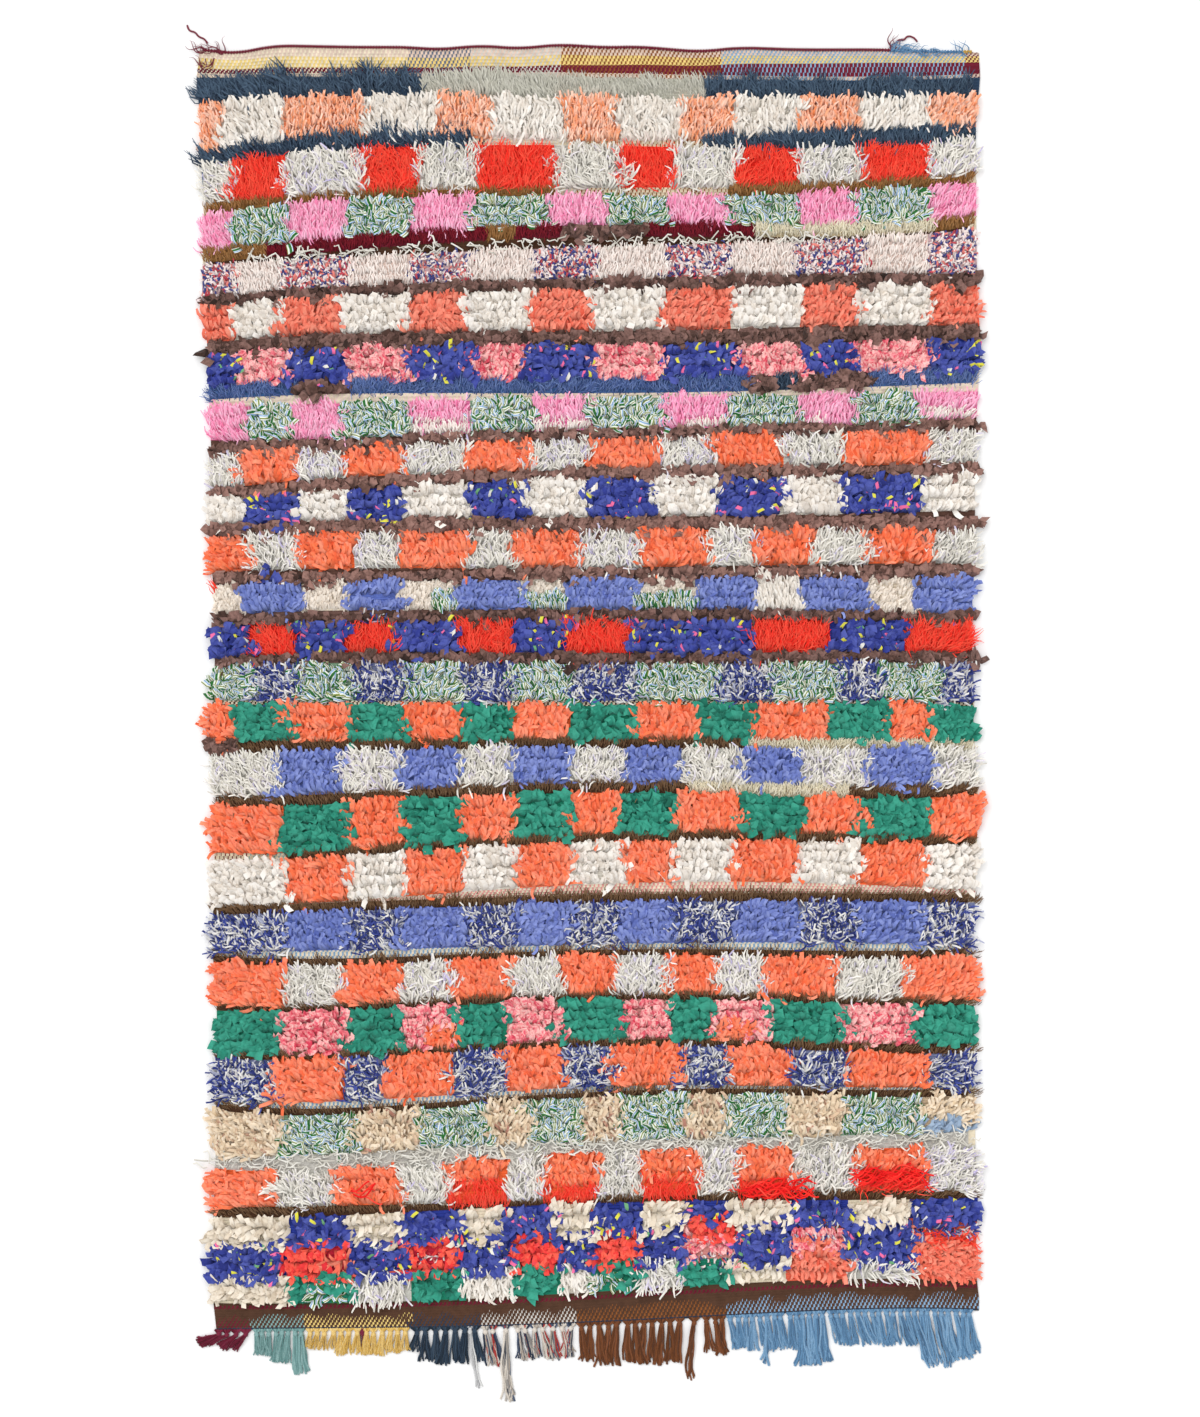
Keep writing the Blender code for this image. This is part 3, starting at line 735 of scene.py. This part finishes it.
# The lines of knots in a band. The first stands this far down, of the reach of a strip that leans
# back up to the band's top; the last stands this far above its foot, and farther in the last bands.
REACH = 0.8  # how far a strip goes over the ground, of its length
STRIP_LEAD = 0.92
WOOL_LEAD = 0.55
FIRST_GAP = 0.4  # from the first line to the band's foot, at the least
FOOT_GAP = 0.3
LAST_FOOT_GAP = 1.7
LAST_FOOT_FROM = 238
# How far the knots stop short of the two sides; the right ends of the plain brown bands stop shorter
LEFT_MARGIN = 0.9
RIGHT_MARGIN = 1.3
BROWN_MARGIN = 2.4
# How far a knot strays from its line: less for the strips that are wide
WIDE_STRIP = 0.7
WIDE_STRAY = 0.22
THIN_STRAY = 0.42
SEAM_STRAY = 0.5
# How much of a cloth's swing its clumps turn by, and how much each end by itself
CLUMP_SWING = 0.7
OWN_SWING = 0.8
# The share that lean down the rug: a few all over, and half of the bands at the foot
BACKWARDS = 0.015
BACKWARDS_AT_FOOT = 0.55
BACKWARDS_FROM = 226
# How far the strips at the two sides turn outwards, in radians: at the head, and more at the foot
FAN_AT_HEAD = 0.4
FAN_MORE = 0.9
PILE_FOOT = 245
# How the ends stand in a row: how much they are stretched, how far apart the clumps that turn
# together are, and how unevenly they stand. Those of the two shaggy rows are longer and wilder.
Manner = namedtuple("Manner", "stretch clump_pitch unevenness")
SHAGGY = Manner(1.3, 3.2, 0.36)
EVEN = Manner(1.0, 1.9, 0.14)
knots = {name: [] for name in CLOTHS}
head = START
for row in CHART:
    names = row.yarns.split() if row.kind in ("rags", "wool", "shag") else []
    edges = [0.0, *row.seams, CHART_WIDTH]
    manner = SHAGGY if row.kind == "shag" else EVEN
    for block, (start, stop) in enumerate(zip(edges, edges[1:])):
        name = names[block % len(names)] if names else "bare"
        if name == "bare":
            continue
        cloth = CLOTHS[name]
        middle = (start + stop) / 2
        middle_down = foot_line(row.feet, middle)
        depth = middle_down - foot_line(head, middle)
        reach = REACH * cloth.length * manner.stretch
        first = min((WOOL_LEAD if name in WOOLS else STRIP_LEAD) * reach, depth - FIRST_GAP)
        last = depth - (LAST_FOOT_GAP if middle_down > LAST_FOOT_FROM else FOOT_GAP)
        lines = max(1, round((last - first) / cloth.spacing) + 1)
        block_tone = rng.normal(0, 0.05)
        for line in range(lines):
            share = (first + (last - first) * (line + 0.5 * (lines == 1)) / max(lines - 1, 1)) / depth
            left_seam, right_seam = start, stop
            if row.kind == "rags":
                left_seam += rng.normal(0, SEAM_STRAY)
                right_seam += rng.normal(0, SEAM_STRAY)
            room = right_seam - left_seam
            count = int(room / cloth.gap) * 2
            across = left_seam + (np.arange(count) + rng.uniform(0, 1, count)) * room / count
            top, foot = foot_line(head, across), foot_line(row.feet, across)
            stray = WIDE_STRAY if cloth.width > WIDE_STRIP else THIN_STRAY
            down = top + (foot - top) * share + rng.normal(0, stray, count)
            left = np.interp(down, SIDES[:, 0], SIDES[:, 1])
            right = np.interp(down, SIDES[:, 0], SIDES[:, 2])
            margin = BROWN_MARGIN if name in ("taupe", "chocolate") else RIGHT_MARGIN
            if block == 0:
                across = right_seam - (right_seam - across) * (right_seam - left - LEFT_MARGIN) / room
            elif stop == CHART_WIDTH:
                across = left_seam + (across - left_seam) * (right - margin - left_seam) / room
            # Clumps turn and stand up together, each end a little its own way
            swing = math.radians(cloth.swing)
            marks = np.arange(-6, 160, manner.clump_pitch)
            clump = np.interp(across, marks, rng.normal(0, swing * CLUMP_SWING, len(marks)))
            puff = np.interp(across, marks, rng.normal(1, manner.unevenness, len(marks)))
            yaw = clump + rng.normal(0, swing * OWN_SWING, count)
            fan = FAN_AT_HEAD + FAN_MORE * (middle_down / PILE_FOOT) ** 2
            yaw -= fan * ((across - CHART_WIDTH / 2) / (CHART_WIDTH / 2)) ** 3
            share_backwards = BACKWARDS_AT_FOOT if middle_down > BACKWARDS_FROM else BACKWARDS
            yaw = np.where(rng.uniform(0, 1, count) < share_backwards, math.pi - yaw, yaw)
            if manner is SHAGGY:
                # These turn to the left, and stand higher there
                yaw += 0.25
                puff *= 1.25 - 0.4 * across / CHART_WIDTH
            tufts = np.stack([
                across, down, np.full(count, GROUND_TOP), yaw,
                manner.stretch * puff * rng.uniform(0.75, 1.1, count), puff * rng.uniform(0.7, 1.05, count),
                np.clip(rng.normal(0.5 + block_tone, 0.2, count), 0, 1), rng.uniform(0, 1, count),
                rng.integers(VARIANTS, size=count),
            ], 1)
            taken = np.zeros(count, bool)
            for patch in PATCHES:
                inside = (across > patch.left) & (across < patch.right)
                inside &= (down > patch.top) & (down < patch.foot)
                knots[patch.cloth].append(tufts[inside & ~taken])
                taken |= inside
            knots[name].append(tufts[~taken])
    head = row.feet

# Cotton jersey and woven shirting, cut and frayed: matt and softly mottled, with painted shade that darkens
# each strip towards its root.
# A print shows as whatever part of it each strip was cut from. The wools are spun and felted.
MOTTLES_PER_METRE = 170.0  # lighter and darker every 6 mm
FIBRES_PER_METRE = 700.0  # drawn 1.4 mm apart, as real fibres are too fine to show
for seed, (name, cloth) in enumerate(CLOTHS.items()):
    kind = "wool" if name in WOOLS else "rags"
    mesh = joined(f"{name}_{kind}", cut_ends(cloth, seed), np.concatenate(knots[name]), name in SMOOTH)
    stuff = "felted_wool" if name in WOOLS else "cotton_rag"
    material, shader = new_material(f"{name}_{stuff}", roughness=0.9, specular=0.15, sheen=0.15)
    strip = add_node(material, "Attribute", attribute_name="strip")
    parts = add_node(material, "SeparateColor", {0: strip})
    place = add_node(material, "TexCoord")
    shades = cloth.shades.split()
    stops = [(number / (len(shades) - 1), shade) for number, shade in enumerate(shades)]
    if name == "leafprint":
        # Leaves on white run along the cloth, so each strip shows some of them side by side
        lanes = add_node(
            material, "Math", {0: strip.outputs["Alpha"], 1: 0.7, 2: parts.outputs["Green"]},
            operation="MULTIPLY_ADD",
        )
        chosen = add_node(material, "Math", {0: lanes}, operation="FRACT")
        stops = [
            (0.0, "2E6E34"), (0.3, "E6ECE2"), (0.5, "86903E"), (0.64, "EEF2EC"), (0.8, "86AEDC"),
            (0.93, "EEF2F0"),
        ]
    elif name in PRINTS:
        chosen = parts.outputs["Green"]
        stops = [(place_on * (1 - 1 / len(shades)), shade) for place_on, shade in stops]
    else:
        contrast = 1.5 if name == "strawberry" else 0.6
        mottle = add_node(
            material, "TexNoise",
            {"Vector": place.outputs["Object"], "Scale": MOTTLES_PER_METRE, "Detail": 3.0},
        )
        tone = add_node(
            material, "Math", {0: mottle, 1: contrast, 2: parts.outputs["Red"]}, operation="MULTIPLY_ADD"
        )
        chosen = add_node(material, "Math", {0: tone, 1: contrast / 2}, operation="SUBTRACT")
    dyed = add_node(material, "ValToRGB", {0: chosen}, stops=stops)
    if name in PRINTS:
        dyed.color_ramp.interpolation = "CONSTANT"
    colour = dyed
    if name == "blueprint":
        # A few strips were cut where the print has a flower, which shows at one corner of the tip
        rare = add_node(material, "Math", {0: parts.outputs["Green"], 1: 0.84}, operation="GREATER_THAN")
        tip = add_node(material, "Math", {0: parts.outputs["Blue"], 1: 0.45}, operation="GREATER_THAN")
        corner = add_node(material, "Math", {0: strip.outputs["Alpha"], 1: 0.55}, operation="GREATER_THAN")
        at_tip = add_node(material, "Math", {0: tip, 1: corner}, operation="MULTIPLY")
        fleck = add_node(material, "Math", {0: at_tip, 1: rare}, operation="MULTIPLY")
        tint = add_node(
            material, "ValToRGB", {0: parts.outputs["Red"]},
            stops=[(0.0, "6FA878"), (0.26, "E2DC4C"), (0.48, "F06FA0"), (0.66, "E8E6DC"), (0.74, "E2DC4C")],
        )
        tint.color_ramp.interpolation = "CONSTANT"
        flowered = add_node(material, "Mix", {0: fleck, 6: colour, 7: tint}, data_type="RGBA")
        colour = flowered.outputs[2]
    # Painted shade: the colour darkens over the first 60 % of each strip's length, down to its root, where
    # the knots shade one another.
    painted_root_light = LIGHTER_PAINTED_ROOTS.get(name, PAINTED_ROOT_LIGHT)
    painted_root_shade = add_node(material, "MapRange", {0: parts.outputs["Blue"], 1: 0.0, 2: 0.6, 3: painted_root_light, 4: 1.0})
    painted_shade_colour = add_node(
        material, "Mix", {0: 1.0, 6: colour, 7: painted_root_shade}, data_type="RGBA", blend_type="MULTIPLY"
    )
    fibres = add_node(
        material, "TexNoise", {"Vector": place.outputs["Object"], "Scale": FIBRES_PER_METRE, "Detail": 2.0}
    )
    bump = add_node(material, "Bump", {"Strength": 0.35, "Distance": 0.0006, "Height": fibres})
    plug(shader, {"Base Color": painted_shade_colour.outputs[2], "Normal": bump})
    finish_piece(f"{name}_{kind}", mesh, material, "rag_pile")

# Loose yarn in the pile. White cotton wefts looped over two thin brown stripes, and red yarn ends
# that hang loose below the lowest orange squares.
YARN_RADIUS = 0.19
LOOP_PITCH = 0.95
LOOP_WAYS = 5


def loop_path(height, skew):
    """A yarn that rises from the ground, crosses over and goes back down."""
    return lambda along: (
        skew * math.sin(math.tau * along), 2.2 * along, height * math.sin(math.pi * along) - 0.1
    )


loops = [
    rolled(lambda along: 0.8 * YARN_RADIUS, loop_path(0.35 + 0.08 * way, 0.25 * (way - 2)), 3, 4)
    for way in range(LOOP_WAYS)
]
spots = []
looped = [(before.feet, row.feet) for before, row in zip(CHART, CHART[1:]) if row.kind == "loops"]
# The thinner stripe has two lines of loops, the thicker one four, with fewer gaps in them
for (head, feet), (lines, share) in zip(looped, ((2, 0.55), (4, 0.8))):
    for line in range(lines):
        across = np.arange(1.5, 148.5, LOOP_PITCH)
        count = len(across)
        across += rng.normal(0, 0.4, count)
        depth = foot_line(feet, across) - foot_line(head, across)
        down = foot_line(head, across) + depth * (line + 0.8) / lines
        kept = (rng.uniform(0, 1, count) < share) & (depth > 0.7)
        spots.append(np.stack([
            across, down, np.full(count, 0.9), rng.choice((-1.2, 1.2), count) + rng.normal(0, 0.4, count),
            rng.uniform(0.6, 1.4, count), np.ones(count), rng.uniform(0, 1, count),
            rng.uniform(0, 1, count), rng.integers(LOOP_WAYS, size=count),
        ], 1)[kept])
mesh = joined("white_weft_loops", loops, np.concatenate(spots), smooth=True)
# Undyed cotton yarn, matt and greyed with use
material, shader = new_material("white_cotton_yarn", roughness=0.9, specular=0.15)
strip = add_node(material, "Attribute", attribute_name="strip")
parts = add_node(material, "SeparateColor", {0: strip})
dyed = add_node(
    material, "ValToRGB", {0: parts.outputs["Red"]}, stops=[(0.0, "C2BDB2"), (0.5, "E0DCD2"), (1.0, "EFECE4")]
)
plug(shader, {"Base Color": dyed})
finish_piece("white_weft_loops", mesh, material, "loose_wool")


def stray_path(bend):
    """A slack yarn that comes out of the pile, winds over it and goes back in."""
    return lambda along: (
        1.1 * math.sin(bend + 4 * along), 5.0 * along, 1.2 * math.sin(math.pi * along) + 0.2
    )


strays = [rolled(lambda along: 0.17, stray_path(bend), 4, 10) for bend in range(5)]
# Where the red yarn hangs: between these places across and down, and how many ends of it
Tangle = namedtuple("Tangle", "left right top foot count")
TANGLES = [
    Tangle(103.5, 115.5, 219.6, 221.8, 60),
    Tangle(124.5, 137.5, 217.2, 219.8, 75),
    Tangle(27, 31, 220, 223, 5),
]
spots = []
for left, right, top, foot, count in TANGLES:
    spots.append(np.stack([
        rng.uniform(left, right, count), rng.uniform(top, foot, count), np.full(count, 1.2),
        rng.uniform(-1.95, -1.25, count), rng.uniform(0.5, 1.0, count), rng.uniform(0.6, 1.0, count),
        rng.uniform(0, 1, count), rng.uniform(0, 1, count), rng.integers(len(strays), size=count),
    ], 1))
mesh = joined("red_yarn_loops", strays, np.concatenate(spots), smooth=True)
# Bright red acrylic yarn, still new, so a little smoother than the wool
material, shader = new_material("red_acrylic_yarn", roughness=0.8, specular=0.2)
strip = add_node(material, "Attribute", attribute_name="strip")
parts = add_node(material, "SeparateColor", {0: strip})
dyed = add_node(
    material, "ValToRGB", {0: parts.outputs["Red"]}, stops=[(0.0, "E8181C"), (0.6, "FF2C26"), (1.0, "FF5040")]
)
plug(shader, {"Base Color": dyed})
finish_piece("red_yarn_loops", mesh, material, "loose_wool")

# The fringe. The warps end in tassels, each knotted against the last weft and left as plied yarn;
# every tassel keeps the colour of its warps.
Tassels = namedtuple("Tassels", "colour start stop foot lean count yarns")
FRINGE = [
    Tassels("maroon", 2.2, 5.4, 253.4, -8.6, 2, 30),
    Tassels("maroon", 5.4, 9.4, 252.8, -4.4, 2, 30),
    Tassels("teal", 9.6, 13.4, 253.0, 0.0, 3, 18),
    Tassels("teal", 13.4, 17.0, 254.6, -0.3, 3, 18),
    Tassels("teal", 17.2, 19.6, 256.8, -0.4, 2, 10),
    Tassels("straw", 19.8, 26.0, 251.8, -0.7, 4, 18),
    Tassels("straw", 26.0, 35.5, 253.0, -0.6, 6, 18),
    Tassels("straw", 35.5, 39.8, 252.4, -0.3, 3, 18),
    Tassels("maroon", 30.6, 31.0, 252.4, 0.1, 1, 4),
    Tassels("ink", 40.2, 42.4, 252.2, -0.4, 1, 18),
    Tassels("ink", 42.2, 53.6, 254.6, 0.3, 6, 20),
    Tassels("chalk", 51.0, 52.0, 259.0, 0.4, 1, 5),
    Tassels("medley", 53.8, 56.8, 254.8, 0.6, 2, 12),
    Tassels("medley", 57.9, 59.1, 262.4, 0.0, 1, 16),
    Tassels("medley", 59.8, 72.0, 253.8, 0.5, 7, 13),
    Tassels("russet", 72.4, 93.0, 254.6, 0.1, 12, 17),
    Tassels("russet", 94.0, 96.0, 258.0, 0.2, 1, 11),
    Tassels("russet", 96.6, 101.0, 252.6, 0.9, 3, 11),
    Tassels("sky", 101.4, 115.5, 251.8, 0.6, 10, 14),
    Tassels("sky", 108.6, 109.6, 255.4, 0.4, 1, 4),
    Tassels("sky", 115.5, 120.5, 254.4, 0.5, 4, 14),
    Tassels("sky", 120.5, 137.0, 251.2, 1.4, 12, 14),
    Tassels("sky", 137.0, 143.5, 255.2, 1.6, 5, 14),
    Tassels("sky", 143.5, 149.2, 253.2, 1.4, 4, 14),
]
FRINGE_SHADES = {
    "maroon": "541022 6E1830 843048",
    "teal": "608886 78A09E 94B6B4",
    "straw": "CCA44C E0BC6A ECD090",
    "ink": "18242F 28384A 3E5062",
    "chalk": "A8A8AA C8C8C8 DCDCDA",
    "medley": "4A566C B9B2AA 8C8884 CFC6BA 2C3648 D8CFC4 A89C90 A83A36",
    "russet": "54301A 6E4022 845032",
    "sky": "4E7294 6690B4 86AAC8",
}
FRINGE_YARN = 0.2
FRINGE_REACH = 7.0  # centimetres of one yarn before it is made longer or shorter
KNOT_DROP = 0.9  # from the last weft to the middle of a tassel's knot
KNOT_HALF = 0.36  # from the middle of a knot to the yarns at its sides
KNOT_RADIUS = 0.52
KNOT_LENGTH = 1.1
NECK_RADIUS = 0.17
WIDEST_FAN = 0.9  # how far a tassel's outer yarns lie from its middle at the foot, at most
NECK_YARNS = 5
YARN_WAYS = 16
SHORT_YARNS = 12  # of these ways of lying; the rest, which are thinner, are for long tassels
LONG_TASSEL = 10  # centimetres
bends = np.random.default_rng(40)
yarns = []
for variant in range(YARN_WAYS):
    swell, phase, sweep = bends.uniform(0.1, 0.34), bends.uniform(0, math.tau), bends.uniform(-0.8, 0.8)
    lift = bends.uniform(0.1, 0.6)

    def yarn_path(along):
        """A yarn that leaves its knot and wanders to its cut end."""
        wander = swell * math.sin(9 * along + phase) * along + sweep * along * along
        return wander, FRINGE_REACH * along, lift * math.sin(math.pi * min(max(along, 0), 1) ** 0.5) + 0.2

    thin = 0.55 if variant >= SHORT_YARNS else 1.0
    yarns.append(rolled(lambda along: thin * FRINGE_YARN, yarn_path, 4, 7))
KNOT, NECK = len(yarns), len(yarns) + 1
yarns.append(rolled(
    lambda along: KNOT_RADIUS * math.sin(math.pi * min(max(along, 0.05), 0.95)) ** 0.6,
    lambda along: (0, KNOT_LENGTH * along - KNOT_LENGTH / 2, 0.45), 6, 5,
))
yarns.append(rolled(lambda along: NECK_RADIUS, lambda along: (0, along, 0.35), 4, 1))
spots = {name: [] for name in FRINGE_SHADES}
for group in FRINGE:
    for tassel in range(group.count):
        room = (group.stop - group.start) / group.count
        middle = group.start + room * (tassel + 0.5) + rng.normal(0, 0.12)
        root = float(foot_line(CHART[-1].feet, middle))
        knot = root + KNOT_DROP + rng.normal(0, 0.1)
        length = (group.foot - knot) * rng.uniform(0.9, 1.06)
        lean = math.pi + math.atan2(group.lean, length) + rng.normal(0, 0.1)
        for neck in range(NECK_YARNS):
            aside = (neck / (NECK_YARNS - 1) - 0.5) * room
            spots[group.colour].append((
                middle + aside, root - 0.15, 0.0, math.pi - math.atan2(aside, KNOT_DROP),
                math.hypot(aside, KNOT_DROP) * 1.15, 1.0, rng.uniform(), rng.uniform(), NECK,
            ))
        for yarn in range(group.yarns):
            aside = rng.uniform(-1, 1)
            way = rng.integers(SHORT_YARNS)
            if length >= LONG_TASSEL:
                way = SHORT_YARNS + way % (YARN_WAYS - SHORT_YARNS)
            spots[group.colour].append((
                middle + aside * KNOT_HALF, knot, 0.1, lean + aside * min(room * 0.5, WIDEST_FAN) / length,
                length / FRINGE_REACH * rng.uniform(0.86, 1.03), rng.uniform(0.7, 1.3),
                rng.uniform(), rng.uniform(), way,
            ))
        spots[group.colour].append((middle, knot, 0.0, lean, 1.0, 1.0, 0.7, rng.uniform(), KNOT))
for name, shades in FRINGE_SHADES.items():
    mesh = joined(f"{name}_tassels", yarns, np.array(spots[name]), smooth=True)
    # Plied warp yarn, cotton or wool, dull and a little hairy, its shade changing every 2.4 mm
    material, shader = new_material(f"{name}_warp_yarn", roughness=0.9, specular=0.15, sheen=0.15)
    strip = add_node(material, "Attribute", attribute_name="strip")
    parts = add_node(material, "SeparateColor", {0: strip})
    shades = shades.split()
    gaps = len(shades) - (name != "medley")
    stops = [(place_on / gaps, shade) for place_on, shade in enumerate(shades)]
    dyed = add_node(material, "ValToRGB", {0: parts.outputs["Red"]}, stops=stops)
    dyed.color_ramp.interpolation = "CONSTANT" if name == "medley" else "LINEAR"
    place = add_node(material, "TexCoord")
    uneven = add_node(
        material, "TexNoise", {"Vector": place.outputs["Object"], "Scale": 420.0, "Detail": 3.0}
    )
    fade = add_node(material, "MapRange", {0: uneven, 1: 0.3, 2: 0.7, 3: 0.8, 4: 1.12})
    worn = add_node(material, "Mix", {0: 1.0, 6: dyed, 7: fade}, data_type="RGBA", blend_type="MULTIPLY")
    plug(shader, {"Base Color": worn.outputs[2]})
    finish_piece(f"{name}_tassels", mesh, material, "warp_yarn", "fringe")

# The camera stands over the middle of the rug and its fringe, square on.
VIEW_MIDDLE = (76.8, 127.8)  # centimetres across and down
camera.location = (left_x + VIEW_MIDDLE[0] * CM, head_y - VIEW_MIDDLE[1] * CM, CAMERA_HEIGHT)
